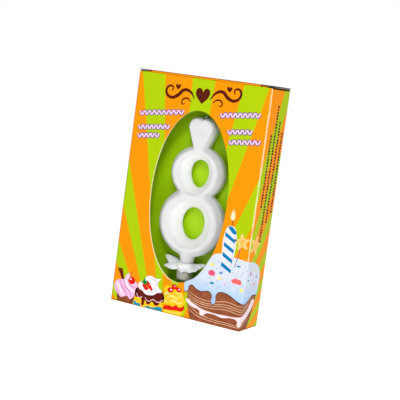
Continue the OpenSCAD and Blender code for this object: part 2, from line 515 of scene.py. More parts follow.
def outline(points, rounded):
    """A filled patch of ink; a point with a third value is a sharp corner."""
    curve = bpy.data.curves.new("ink", "CURVE")
    curve.dimensions, curve.fill_mode, curve.resolution_u = "2D", "BOTH", 5 if rounded else 1
    curve.extrude = ink_skin / 2
    spline = curve.splines.new("BEZIER")
    spline.bezier_points.add(len(points) - 1)
    spline.use_cyclic_u = True
    for knot, point in zip(spline.bezier_points, points):
        knot.co = (point[0], point[1], 0)
        sharp = len(point) == 3 or not rounded
        knot.handle_left_type = knot.handle_right_type = "VECTOR" if sharp else "AUTO"
    return curve


def blob(*points):
    """A patch with a flowing outline."""
    return outline(points, True)


def shape(*points):
    """A patch with straight edges."""
    return outline(points, False)


def spot(u, v, ru, rv=None):
    """A round or oval dot."""
    rv = rv or ru
    return blob((u + ru, v), (u, v + rv), (u - ru, v), (u, v - rv))


def line(points, width):
    """A drawn line with round ends; a point's third value makes it thicker or thinner there."""
    curve = bpy.data.curves.new("ink", "CURVE")
    curve.dimensions, curve.resolution_u, curve.use_fill_caps = "3D", 6, True
    curve.bevel_depth, curve.bevel_resolution = width / 2, 1
    spline = curve.splines.new("BEZIER")
    spline.bezier_points.add(len(points) - 1)
    for knot, point in zip(spline.bezier_points, points):
        knot.co = (point[0], point[1], 0)
        knot.radius = point[2] if len(point) == 3 else 1.0
        knot.handle_left_type = knot.handle_right_type = "AUTO"
    return curve


def printed(name, *passes, first=0):
    """Prints each pass of inks a little over the last, and folds them up with the board."""
    bm = bmesh.new()
    used = sorted({ink_name for inked in passes for ink_name, curve in inked})
    for level, inked in enumerate(passes, first):
        for ink_name, curve in inked:
            flat = bpy.data.objects.new("ink", curve)
            scene.collection.objects.link(flat)
            bpy.context.view_layer.update()
            mesh = bpy.data.meshes.new_from_object(flat)
            bpy.data.objects.remove(flat)
            bpy.data.curves.remove(curve)
            flatten = ink_skin / 2 / max(v.co.z for v in mesh.vertices)
            for vert in mesh.vertices:
                vert.co.z = vert.co.z * flatten + ink_skin / 2 + level * pass_step
            for polygon in mesh.polygons:
                polygon.material_index = used.index(ink_name)
            bm.from_mesh(mesh)
            bpy.data.meshes.remove(mesh)
    bmesh.ops.remove_doubles(bm, verts=bm.verts, dist=0.0004)
    crease_cuts = 6
    for i in range(crease_cuts + 1):
        cut = half_w - crease_r + i * 2 * crease_r / crease_cuts
        bmesh.ops.bisect_plane(
            bm, geom=bm.verts[:] + bm.edges[:] + bm.faces[:], plane_co=(cut, 0, 0), plane_no=(1, 0, 0)
        )
    bmesh.ops.recalc_face_normals(bm, faces=bm.faces)
    stand_up(bm)
    return piece(name, bm, [inks[ink_name] for ink_name in used], "carton", smooth=30)


# The first small cake: pink cream wound on a brown wrapper, with a chocolate cone and a cherry.
pleats = [("crust", line([(-34.6 + 1.3 * i, 3.6), (-34.0 + 1.22 * i, 0.5)], 0.22)) for i in range(8)]
printed(
    "print_pink_cake",
    [("wrapper", shape((-35.7, 5.0), (-24.0, 5.0), (-25.0, 0.35), (-34.7, 0.35)))],
    pleats + [("cocoa", shape((-36.9, 17.9), (-33.7, 18.1), (-31.4, 11.0), (-32.4, 10.8)))],
    [
        ("wrapper", line([(-36.2, 17.3), (-33.4, 12.4)], 0.45)),
        ("pink", blob(
            (-37.5, 8.0), (-36.8, 10.8), (-34.4, 12.0), (-32.0, 12.6), (-31.0, 14.8), (-29.4, 16.6, 0),
            (-28.4, 15.0), (-26.0, 13.4), (-23.4, 11.4), (-23.1, 8.2), (-24.4, 5.0), (-25.4, 3.6),
            (-27.0, 2.6), (-28.8, 4.0), (-30.6, 3.4), (-32.6, 2.6), (-34.4, 3.8), (-36.6, 5.4))),
    ],
    [
        ("blush", line([(-36.4, 9.8, 0.5), (-34.6, 8.2, 1.2), (-32.6, 5.2, 1.0), (-31.6, 3.8, 0.4)], 1.1)),
        ("blush", line([(-31.2, 12.6, 0.5), (-29.8, 10.0, 1.3), (-26.8, 7.6, 1.2), (-24.4, 6.6, 0.4)], 1.2)),
        ("blush", line([(-29.9, 15.6, 0.4), (-29.6, 13.6, 1.0), (-28.8, 12.0, 0.6)], 0.9)),
        ("rose", line([(-34.4, 11.4, 0.5), (-33.0, 8.8, 1.0), (-30.6, 6.4, 1.0), (-28.8, 4.4, 0.5)], 0.6)),
        ("rose", line([(-31.8, 11.8, 0.5), (-30.8, 9.2, 1.0), (-28.2, 7.0, 1.0), (-26.4, 4.0, 0.5)], 0.5)),
        ("rose", line([(-28.8, 11.0, 0.5), (-27.0, 9.6, 1.0), (-24.2, 9.4, 0.5)], 0.5)),
        ("rose", line([(-36.9, 7.2, 0.5), (-35.4, 5.8, 1.0), (-34.0, 4.4, 0.5)], 0.45)),
        ("cherry", spot(-27.2, 12.7, 2.2, 2.0)),
        ("cocoa", line([(-27.8, 14.5), (-28.1, 16.0), (-27.8, 17.4)], 0.28)),
    ],
    [("blush", spot(-27.9, 13.4, 0.62, 0.45))],
)

# The second: white cream with a strawberry, on chocolate that drips over a yellow and blue case.
printed(
    "print_chocolate_cake",
    [
        ("yolk", shape((-24.2, 6.0), (-6.6, 6.0), (-6.8, 0.35), (-24.0, 0.35))),
    ],
    [
        ("teal", blob((-24.2, 2.4), (-22.4, 1.6), (-20.4, 1.6), (-19.8, 0.35, 0), (-24.0, 0.35, 0))),
        ("teal", blob(
            (-17.2, 0.35, 0), (-15.8, 1.4), (-13.2, 1.0), (-9.4, 2.2), (-6.8, 2.0), (-6.8, 0.35, 0))),
    ],
    [("cocoa", blob(
        (-24.4, 7.6), (-23.0, 10.0), (-19.0, 10.4), (-12.0, 10.8), (-7.6, 10.2), (-6.3, 8.2), (-6.6, 5.2),
        (-8.4, 4.8), (-9.4, 3.0), (-11.4, 2.6), (-13.2, 4.2), (-15.0, 2.2), (-16.6, 2.6), (-17.4, 4.0),
        (-18.2, 1.2), (-19.3, 1.0), (-19.8, 4.0), (-21.6, 4.8), (-23.6, 4.8)))],
    [
        ("crust", line([
            (-23.2, 8.8, 0.6), (-20.6, 6.6), (-17.4, 5.9), (-13.8, 6.9), (-10.6, 6.4),
            (-7.2, 8.4, 0.6)], 1.1)),
        ("blush", line([
            (-23.4, 6.8), (-21.2, 4.7), (-18.9, 6.0), (-15.6, 3.9), (-12.8, 5.4), (-10.0, 4.6),
            (-6.7, 6.3)], 0.32)),
    ],
    [("cream", blob(
        (-22.8, 11.8), (-22.0, 13.2), (-19.6, 14.4), (-18.2, 16.8), (-15.4, 17.6), (-13.0, 16.8),
        (-9.4, 17.2, 0), (-11.0, 15.0), (-10.6, 12.6), (-8.2, 10.4), (-10.8, 9.4), (-12.8, 7.9),
        (-15.4, 7.2), (-17.8, 7.3), (-20.0, 8.8), (-22.0, 9.6)))],
    [
        ("shade", line(
            [(-15.6, 15.6, 0.4), (-13.2, 15.8, 1.0), (-11.8, 14.2, 0.8), (-12.6, 12.2, 0.5)], 0.55)),
        ("shade", line([(-13.8, 12.4, 0.4), (-12.0, 10.8, 1.0), (-14.6, 9.0, 1.0), (-17.6, 8.4, 0.5)], 0.55)),
        ("shade", line([(-21.8, 11.2, 0.4), (-20.6, 10.0, 1.0), (-18.8, 9.2, 0.5)], 0.5)),
        ("cherry", blob(
            (-20.0, 13.0), (-17.4, 14.4), (-15.2, 12.6), (-14.0, 9.9), (-16.0, 10.6), (-17.4, 9.5),
            (-19.6, 10.6))),
    ],
    [
        *(("custard", spot(u, v, 0.2)) for u, v in ((-17.6, 11.6), (-16.2, 12.4), (-16.4, 11.0))),
        ("leaf", shape(
            (-21.6, 13.4), (-20.2, 13.9), (-19.4, 16.0), (-18.6, 14.4), (-17.0, 14.8), (-17.8, 13.5),
            (-16.8, 12.6), (-18.4, 12.9), (-19.0, 11.8), (-19.8, 12.9))),
    ],
)

# The third: yellow cream with three berries over a red band and an orange case.
printed(
    "print_berry_cake",
    [("yolk", shape((-6.0, 4.0), (5.8, 5.0), (5.2, 0.35), (-5.6, 0.35)))],
    [
        ("cherry", blob(
            (-6.0, 3.4), (-2.0, 4.6), (2.0, 5.4), (5.8, 6.2), (5.9, 3.6), (1.0, 2.6), (-4.0, 2.0),
            (-6.0, 2.2))),
        ("custard", line([(-5.0, 1.2), (0.0, 1.3), (4.8, 1.8)], 0.35)),
    ],
    [("yolk", blob(
        (-6.6, 5.6), (-7.2, 8.8), (-6.4, 11.0), (-7.0, 13.2), (-5.0, 14.8), (-2.4, 14.4), (0.6, 14.6),
        (3.6, 13.2), (5.2, 10.6), (6.2, 8.0), (5.2, 5.6), (3.0, 4.6), (1.2, 5.8), (-0.8, 4.2),
        (-2.8, 5.2), (-4.6, 4.4)))],
    [
        ("pear", line([(-6.4, 9.4, 0.5), (-5.2, 10.6, 1.2), (-3.4, 10.2, 0.6)], 1.1)),
        ("pear", line([(-6.2, 7.2, 0.5), (-4.6, 6.2, 1.0), (-3.6, 5.6, 0.5)], 0.8)),
        ("custard", line([(-4.4, 8.6, 0.5), (-1.8, 9.8, 1.2), (0.8, 9.0, 1.0), (3.2, 10.6, 0.5)], 0.9)),
        ("custard", line([(-2.8, 6.4, 0.5), (-0.2, 7.6, 1.2), (2.4, 6.6, 1.0), (4.8, 7.8, 0.5)], 0.9)),
        ("custard", line([(0.6, 12.0, 0.5), (3.2, 11.6, 1.0), (4.6, 9.4, 0.5)], 0.6)),
        ("halo", line([(-5.2, 7.8), (-2.2, 8.4), (1.0, 7.9), (5.4, 9.0)], 0.35)),
        ("halo", line([(-4.0, 11.4), (-1.6, 11.6), (1.6, 10.4)], 0.35)),
        ("cherry", spot(-3.2, 12.7, 1.75, 1.45)), ("cherry", spot(1.7, 13.8, 1.6, 1.3)),
    ],
    [("cherry", spot(-1.1, 14.8, 1.7, 1.45))],
    [
        ("blush", spot(-2.8, 12.9, 0.6, 0.4)), ("blush", spot(-0.8, 15.2, 0.35, 0.3)),
        ("blush", spot(2.1, 14.0, 0.6, 0.4)),
    ],
)

# The cut cake: two sponge layers with crumb lines, a wavy filling, and icing that runs over the top
# and ends at the window.
icing_edge = [
    (half_w + 15.0, 17.8), (half_w + 12.0, 18.0), (half_w + 8.8, 17.4), (half_w + 5.4, 15.2),
    (half_w + 2.0, 14.0), (half_w - 1.0, 14.4), (35.3, 15.2), (31.6, 17.0), (27.6, 18.0), (24.6, 17.4),
    (23.3, 15.4), (23.5, 12.8), (22.4, 10.6), (21.1, 12.4), (21.2, 15.0), (19.2, 16.8), (17.0, 16.6),
    (14.6, 16.0), (11.4, 16.9), (8.8, 18.2), (7.4, 17.2), (6.8, 14.6), (5.6, 14.0), (4.6, 16.2),
    (4.6, 18.8, 0),
]
under_icing = [(u, v - 0.5, *sharp) for u, v, *sharp in icing_edge]
crumb_lines = [
    ("peach", line([
        (7.6, 15.2 - sag, 0.5), (13.0, 12.9 - sag), (21.0, 12.4 - sag), (30.0, 14.2 - sag * 1.15),
        (half_w, 13.4 - sag * 1.1), (half_w + 6.0, 15.8 - sag), (half_w + 12.4, 19.0 - sag, 0.5)], 0.22))
    for sag in (0.6, 2.0, 3.0, 4.2)
] + [
    ("peach", line([
        (8.6, 7.4 - sag, 0.5), (14.0, 4.4 - sag * 0.8), (22.0, 2.9 - sag * 0.6), (31.0, 2.7 - sag * 0.5),
        (half_w + 1.0, 3.0 - sag * 0.5), (half_w + 8.6, 7.6 - sag, 0.5)], 0.22))
    for sag in (0.0, 1.9)
]
sprinkles = [
    ("berry", spot(19.3, 26.5, 2.0, 1.5)),
    ("coral", blob((31.0, 24.4), (33.9, 26.4), (36.7, 24.2), (33.8, 23.8))),
]
for ink_name, u, v, ru, rv in (
    ("custard", 24.2, 24.8, 1.4, 0.65), ("custard", 18.9, 30.9, 1.5, 0.55), ("teal", 20.2, 21.4, 1.25, 0.6),
    ("lilac", 27.1, 22.7, 1.25, 0.65), ("custard", 37.2, 21.2, 1.2, 0.8), ("blue", 33.8, 32.8, 1.1, 0.4),
    ("blue", 24.5, 27.6, 0.8, 0.5), ("rose", half_w + 4.6, 29.6, 1.1, 0.9),
    ("teal", half_w + 2.8, 26.2, 0.8, 0.5), ("custard", half_w + 8.4, 31.0, 0.9, 0.5),
    ("blue", half_w + 12.0, 27.4, 0.8, 0.5), ("coral", half_w + 10.2, 23.6, 1.0, 0.6),
):
    sprinkles.append((ink_name, spot(u, v, ru, rv)))
sprinkle_count, sprinkled_u, sprinkled_v = 64, 34.4, 14.2
for i in range(sprinkle_count):  # uneven steps, which keep the dots out of rows
    u, v = 17.8 + (i * 25.96) % sprinkled_u, 20.0 + (i * 8.08) % sprinkled_v
    sprinkles.append((("plum", "coral", "teal", "berry")[i % 4], spot(u, v, 0.26, 0.2)))
printed(
    "print_cut_cake",
    [("sponge", blob(
        (7.3, 17.6, 0), (7.0, 12.0), (8.2, 5.6), (10.2, 0.35, 0), (half_w + 8.4, 0.35, 0),
        (half_w + 12.0, 8.0), (half_w + 15.0, 18.4, 0), (half_w, 20.0, 0), (20.0, 22.0, 0), (8.4, 20.0, 0)))],
    [("filling", blob(
        (6.7, 10.2), (10.6, 8.9), (16.0, 7.0), (22.0, 6.3), (29.0, 6.4), (half_w - 1.0, 7.2),
        (half_w + 5.6, 9.8), (half_w + 13.2, 15.2), (half_w + 12.4, 11.8), (half_w + 6.6, 6.6),
        (half_w + 2.4, 4.2), (half_w, 2.2), (37.8, 2.2), (36.8, 5.2), (33.4, 5.8), (28.4, 4.8),
        (23.4, 5.6), (19.0, 5.0), (17.6, 3.6), (15.9, 3.6), (15.0, 5.8), (11.6, 6.6), (8.0, 8.2)))]
    + crumb_lines,
    [("crust", blob(*under_icing, (12.8, 23.4, 0), (50.0, 24.0, 0)))],
    [("icing", blob(
        *icing_edge, (9.2, 21.5), (12.2, 24.6), (15.2, 29.3), (17.2, 33.4), (19.6, 36.5),
        (half_w - 10, 36.8), (half_w, 36.0), (half_w + 9.0, 34.6), (half_w + 14.4, 31.4),
        (half_w + 16.4, 26.6), (half_w + 15.8, 21.4)))],
    sprinkles,
)

# The candle on the cake, wound with blue, and two stars on sticks.
candle_l, candle_r, twist_drop, twist_pitch = 23.8, 29.9, 3.2, 5.15
twists = [
    ("blue", shape(
        (candle_l + 0.1, 33.4 + i * twist_pitch), (candle_r, 33.4 - twist_drop + i * twist_pitch),
        (candle_r, 31.5 - twist_drop + i * twist_pitch), (candle_l + 0.1, 31.3 + i * twist_pitch)))
    for i in range(4)
] + [("blue", blob((25.4, 51.7), (candle_r - 0.2, 50.0), (candle_r, 48.7), (26.0, 50.5)))]
printed(
    "print_candle",
    [
        ("chalk", blob(
            (candle_l, 31.6, 0), (candle_l, 49.6), (25.4, 52.0), (28.0, 52.2), (candle_r, 50.0),
            (candle_r, 29.0, 0))),
        ("halo", blob((26.9, 61.6, 0), (25.5, 58.6), (25.3, 56.6), (26.9, 55.0), (28.5, 56.6), (28.3, 58.6))),
        ("cocoa", line([(26.9, 52.3), (27.2, 54.0), (26.9, 55.6), (26.2, 55.0)], 0.4)),
    ],
    twists + [
        ("shade", line([(candle_r - 0.35, 49.4), (candle_r - 0.35, 30.0)], 0.45)),
        ("glow", blob((26.9, 60.4, 0), (26.0, 58.0), (25.9, 56.4), (26.9, 55.3), (27.9, 56.4), (27.8, 58.0))),
    ],
    first=5,
)


def star(reach, u, v, lean):
    """Five soft points."""
    points = []
    for i in range(10):
        r, turn = (reach, reach * 0.52)[i % 2], lean + i * pi / 5
        points.append((u + r * sin(turn), v + r * cos(turn)))
    return blob(*points)


front_star, side_star = (34.0, 45.2, radians(-10)), (half_w + 5.4, 44.4, radians(14))
printed(
    "print_stars",
    [
        ("plum", line([(33.5, 42.4), (32.6, 37.0), (31.4, 31.6)], 0.3)),
        ("star", star(4.3, *front_star)), ("star", star(5.3, *side_star)),
    ],
    [("halo", star(2.2, *front_star)), ("halo", star(2.8, *side_star))],
    first=5,
)

# A heart between two scrolls over the window, and rows of piped waves beside it.
title_u, title_v, title_lean = 0.4, 115.2, 0.07


def sprig(hand, path, width):
    """A stroke to one side of the title heart, on the title's lean."""
    return line([(title_u + hand * a, title_v + b + title_lean * hand * a, r) for a, b, r in path], width)


def heart(u, v, size):
    """A plump heart, a little uneven."""
    return blob(
        (u, v - size, 0), (u - size * 0.98, v + size * 0.24), (u - size * 0.76, v + size * 0.86),
        (u - size * 0.26, v + size * 0.86), (u, v + size * 0.46, 0), (u + size * 0.3, v + size * 0.9),
        (u + size * 0.8, v + size * 0.84), (u + size * 0.96, v + size * 0.24))


scroll = (
    (4.6, -1.6, 0.4), (7.4, 1.8, 1.0), (11.0, 2.6, 1.3), (14.6, -0.4, 1.4), (18.2, -1.6, 1.2),
    (21.4, 0.8, 1.0), (20.6, 4.0, 0.9), (17.8, 3.8, 0.7), (18.2, 1.8, 0.5),
)
tendril = ((6.0, -3.4, 0.4), (9.0, -1.6, 1.0), (11.6, -3.0, 0.9), (11.0, -4.8, 0.7), (9.8, -4.2, 0.4))
flourish = [sprig(hand, path, width) for path, width in ((scroll, 1.35), (tendril, 0.95)) for hand in (1, -1)]
for across, up, size in ((0.0, 0.0, 4.2), (14.8, 5.0, 1.5), (-14.8, 3.0, 1.5)):
    flourish.append(heart(title_u + across, title_v + up, size))
printed("print_flourish", [("chocolate", curve) for curve in flourish])

wave_fill, wave_edge = [], []
wave_height = 0.85
for u, v, length, waves, rise in (
    (-35.4, 102.0, 26.0, 9, 0.14), (-35.2, 94.4, 18.6, 7, 0.14), (-35.0, 90.0, 12.8, 5, 0.14),
    (12.0, 106.8, 22.0, 8, 0.13), (17.4, 99.0, 13.4, 5, 0.13), (18.8, 94.0, 17.2, 6, 0.13),
):
    step = length / (2 * waves)
    path = [(u + i * step, v + rise * i * step + wave_height * (-1) ** i) for i in range(2 * waves + 1)]
    wave_edge.append(("plum", line(path, 1.75)))
    wave_fill.append(("lilac", line(path, 0.95)))
printed("print_piped_waves", wave_edge, wave_fill)

# Four columns of small beads up the right side.
beads = []
bead_step, column_step = 1.5, 4.3
for column, (v0, v1) in enumerate(((64.0, 102.0), (46.0, 117.5), (56.0, 108.5), (61.0, 104.0))):
    for i in range(int((v1 - v0) / bead_step)):
        size = (1.1, 0.75)[i % 4 == 1], (0.66, 0.5)[i % 3 == 2]
        beads.append(("chocolate", spot(half_w + 5.8 + column * column_step, v0 + i * bead_step, *size)))
printed("print_side_beads", beads)


# --- The lid, its tongue and the dust flaps ------------------------------------------------------
# The same blank's top: the lid turns on the back's crease and its front edge rolls over into the
# tuck tongue. The roll is slit short at both ends: two lock gaps in front, with painted shade.

lid_low, lid_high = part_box("top_lid")
lid_top = lid_high.z / MM
lid_back, lid_front = lid_high.y / MM, lid_low.y / MM
lid_half_w = lid_high.x / MM
roll_half_w, roll_r, roll_tail, lock_back = 31.8, 0.8, 0.35, 0.1
# Painted shade: the board's brown cut edge darkened nearly to black, for the shade in the lock gaps and along
# the top edges.
painted_shade_edge = raw_board("painted_shade_edge", colour(52, 32, 16), colour(30, 18, 9), 1600.0)
lid_faces = [orange_board, bare_board, painted_shade_edge]


def lid_sheet(bm, x0, x1, columns, start, rows, rolled):
    """One stretch of the lid from its front edge back, with the roll over the front if it has one."""
    length = lid_back - lid_front - start
    flat = bmesh.ops.create_grid(bm, x_segments=columns, y_segments=rows, size=0.5)["verts"]
    bmesh.ops.scale(bm, vec=(x1 - x0, length, 1), verts=flat)
    bmesh.ops.translate(bm, vec=((x0 + x1) / 2, start + length / 2, 0), verts=flat)
    if rolled:
        reach = roll_r * pi / 2 + roll_tail
        arc = bmesh.ops.create_grid(bm, x_segments=columns, y_segments=9, size=0.5)["verts"]
        bmesh.ops.scale(bm, vec=(x1 - x0, reach, 1), verts=arc)
        bmesh.ops.translate(bm, vec=((x0 + x1) / 2, start - reach / 2, 0), verts=arc)
        flat += arc
    uv = bm.loops.layers.uv.get("UVMap") or bm.loops.layers.uv.new("UVMap")
    for face in {f for v in flat for f in v.link_faces}:
        for loop in face.loops:
            loop[uv].uv = (loop.vert.co.x / 100, (carton_h + loop.vert.co.y) / 100)
    for vert in flat:
        behind = vert.co.y - start
        turn = min(max(-behind / roll_r, 0.0), pi / 2)
        tail = max(-behind - roll_r * pi / 2, 0.0)
        y = lid_front + start + max(behind, 0.0) - roll_r * sin(turn)
        vert.co = (vert.co.x, y, lid_top - roll_r + roll_r * cos(turn) - tail)


lid = bmesh.new()
lid_sheet(lid, -roll_half_w, roll_half_w, 12, roll_r, 8, True)
lid_sheet(lid, -lid_half_w, -roll_half_w, 2, lock_back, 8, False)
lid_sheet(lid, roll_half_w, lid_half_w, 2, lock_back, 8, False)
piece("lid_panel", lid, lid_faces, "lid", ("top_lid",), card=board)

# The tongue has cut and rounded corners, and is printed on its outer face only.
tongue_low, tongue_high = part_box("tuck_tongue")
tongue_half_w, tongue_foot, tongue_top = tongue_high.x / MM, tongue_low.z / MM, tongue_high.z / MM
corner_cut, corner_r = 5.0, 2.4
tongue = bmesh.new()
tongue_rim = [
    tongue.verts.new((x, tongue_low.y / MM, z))
    for x, z in (
        (-tongue_half_w, tongue_top), (-tongue_half_w, tongue_foot + corner_cut),
        (-tongue_half_w + corner_cut, tongue_foot), (tongue_half_w - corner_cut, tongue_foot),
        (tongue_half_w, tongue_foot + corner_cut), (tongue_half_w, tongue_top),
    )
]
tongue.faces.new(tongue_rim)
bmesh.ops.bevel(
    tongue, geom=tongue_rim[1:5], offset=corner_r, segments=5, profile=0.5, affect="VERTICES", material=-1
)
piece("tongue_sheet", tongue, lid_faces, "tongue", ("tuck_tongue",), card=board)


def turn_out(bm, way):
    """Makes a sheet's faces agree, with the printed side towards the given way."""
    bmesh.ops.recalc_face_normals(bm, faces=bm.faces)
    if sum(f.normal.dot(way) for f in bm.faces) < 0:
        bmesh.ops.reverse_faces(bm, faces=bm.faces)


# A dust flap folds in from each side, narrower towards its tip.
fold_drop, flap_fold_r = 0.05, 0.5
shoulder, shoulder_run = 1.5, 4.0
for hand, side in ((-1, "left"), (1, "right")):
    flap_low, flap_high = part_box("top_dust_flap_" + side)
    hinge_x = max(abs(flap_low.x), abs(flap_high.x)) / MM
    tip_x = min(abs(flap_low.x), abs(flap_high.x)) / MM
    hinge_y0, hinge_y1, tip_y0, tip_y1 = flap_low.y / MM, flap_high.y / MM, -5.6, 2.3
    flap_top = flap_high.z / MM - fold_drop
    flap = bmesh.new()
    sheet = bmesh.ops.create_grid(flap, x_segments=20, y_segments=6, size=0.5)["verts"]
    for vert in sheet:
        run = (vert.co.x + 0.5) * (hinge_x - tip_x + flap_fold_r)
        turn = min(run / flap_fold_r, pi / 2)
        inward = flap_fold_r * (1 - cos(turn)) + max(run - flap_fold_r * pi / 2, 0.0)
        share = inward / (hinge_x - tip_x)
        near, far = hinge_y0 + (tip_y0 - hinge_y0) * share, hinge_y1 + (tip_y1 - hinge_y1) * share
        near -= shoulder * max(0.0, 1 - inward / shoulder_run)
        vert.co = (
            hand * (hinge_x - inward), near + (far - near) * (vert.co.y + 0.5),
            flap_top - flap_fold_r + flap_fold_r * sin(turn),
        )
    turn_out(flap, Vector((0, 0, 1)))
    piece(
        "dust_flap_" + side, flap, lid_faces, "flap_" + side, ("top_dust_flap_" + side,),
        card=board,
    )

# The glued base keeps its four plain panels: only the outer one shows its printed side.
for name, board_face in (
    ("bottom_outer_flap", orange_board), ("bottom_inner_flap", bare_board),
    ("bottom_dust_flap_left", bare_board), ("bottom_dust_flap_right", bare_board),
):
    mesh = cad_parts[name].data
    mesh.materials.clear()
    mesh.materials.append(board_face)


# --- The green platform --------------------------------------------------------------------------
# A second piece of card, lime green in the mass: its face stands behind the candle, two flanges
# fold back to hold it off the carton's back, and a shelf folds forward to take the pick's spike.

green_low, green_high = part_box("platform_card")
shelf_low, shelf_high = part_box("platform_shelf")
leg_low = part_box("shelf_leg")[0]
flange_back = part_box("platform_left_flange")[1].y / MM
card_x, card_y = green_high.x / MM, green_low.y / MM
green_foot, green_top = green_low.z / MM, green_high.z / MM
fold_r = 0.8


def green_card(name):
    """Card dyed lime green, smooth, with faint cloudiness and a soft sheen."""
    material, add, join = nodes_of(
        name, Roughness=0.45, Specular_IOR_Level=0.2, Coat_Weight=0.05, Coat_Roughness=0.35
    )
    place = paper_relief(add, join, 0.3, 0.2)[0]
    share = ramp(add, clouds(add, place, 70.0, 3.0), 0.3, 0.7)
    join(mixed(add, share, colour(172, 222, 14), colour(162, 210, 6)), "Base Color")
    return material


lime_card = green_card("lime_card")


def folded_card(edge_on, sweep):
    """Bent card: its edge-on line with rounded folds at the inner points, swept straight across."""
    bm = bmesh.new()
    knots = [bm.verts.new(point) for point in edge_on]
    for pair in zip(knots, knots[1:]):
        bm.edges.new(pair)
    bmesh.ops.bevel(
        bm, geom=knots[1:-1], offset=fold_r, segments=5, profile=0.5, affect="VERTICES", material=-1
    )
    swept = bmesh.ops.extrude_edge_only(bm, edges=bm.edges[:])["geom"]
    far_side = [g for g in swept if isinstance(g, bmesh.types.BMVert)]
    bmesh.ops.translate(bm, vec=sweep, verts=far_side)
    return bm


plan = [(-card_x, flange_back), (-card_x, card_y), (card_x, card_y), (card_x, flange_back)]
platform = folded_card([(x, y, green_foot) for x, y in plan], (0, 0, green_top - green_foot))
turn_out(platform, Vector((0, -1, 0)))
piece(
    "platform_face", platform, [lime_card] * 3, "carton",
    ("platform_card", "platform_left_flange", "platform_right_flange"), card=board,
)

shelf_y0, shelf_y1 = shelf_low.y / MM, shelf_high.y / MM
shelf_top, shelf_half_w = shelf_high.z / MM, shelf_high.x / MM
side_view = [(shelf_y1, shelf_top), (shelf_y0, shelf_top), (shelf_y0, leg_low.z / MM)]
shelf = folded_card([(-shelf_half_w, y, z) for y, z in side_view], (2 * shelf_half_w, 0, 0))
turn_out(shelf, Vector((0, 0, 1)))
piece(
    "platform_shelf_fold", shelf, [lime_card] * 3, "carton",
    ("platform_shelf", "shelf_leg"), card=board,
)


# --- The wax numeral -----------------------------------------------------------------------------
# A figure eight with a heart on top, cast in white paraffin in a two-part mould: flat in front and
# behind, with shoulders that slope to the seam. The stub under it stands in the pick's cup.

wax_low, wax_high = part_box("numeral_wax")
wax_y = (wax_low.y + wax_high.y) / 2 / MM
wax_half = (wax_high.y - wax_low.y) / 2 / MM
stub_foot = wax_low.z / MM
low_z, high_z, lobe_z = 48.9, 75.3, 99.2
low_rx, low_rz, high_rx, high_rz = 19.0, 18.1, 15.5, 14.0
edge_half, waist_back = 2.0, 1.4  # half of the upright edge; the counters are narrowest behind the middle


def slab(bm, draw_in, *discs):
    """Wax cast round one disc or the hull of a few: an upright edge, then shoulders that slope in."""
    verts = []
    for cx, cz, rx, rz in discs:
        for depth, less in ((-wax_half, draw_in), (-edge_half, 0), (edge_half, 0), (wax_half, draw_in)):
            ring = bmesh.ops.create_circle(bm, segments=72, radius=1.0)["verts"]
            bmesh.ops.rotate(bm, cent=(0, 0, 0), matrix=Matrix.Rotation(pi / 2, 3, "X"), verts=ring)
            bmesh.ops.scale(bm, vec=(rx - less, 1, rz - less), verts=ring)
            bmesh.ops.translate(bm, vec=(cx, wax_y + depth, cz), verts=ring)
            verts += ring
    hull = bmesh.ops.convex_hull(bm, input=verts)
    spare = [g for g in hull["geom_interior"] if isinstance(g, bmesh.types.BMVert)]
    bmesh.ops.delete(bm, geom=spare, context="VERTS")


def counter(bm, cz, rx, rz, flare_x, flare_z, egg):
    """The cutter for one hole of the eight: a wide funnel in front, a shorter one behind."""
    past = 1.0
    for way, length, share in (
        (-1, wax_half + waist_back + past, 1.0), (1, wax_half - waist_back + past, 0.3)
    ):
        cone = bmesh.ops.create_cone(
            bm, cap_ends=True, segments=72, radius1=1.0, radius2=1.0, depth=length
        )["verts"]
        for v in cone:
            out = share if v.co.z > 0 else 0.0
            x, z = v.co.x * (rx + flare_x * out) * (1 + egg * v.co.y), v.co.y * (rz + flare_z * out)
            v.co = (x, wax_y + waist_back + way * (v.co.z + length / 2), cz + z)


def loose(name, bm):
    """A scratch object for the modifiers to work on."""
    mesh = bpy.data.meshes.new(name)
    bmesh.ops.recalc_face_normals(bm, faces=bm.faces)
    bm.to_mesh(mesh)
    bm.free()
    made = bpy.data.objects.new(name, mesh)
    scene.collection.objects.link(made)
    return made


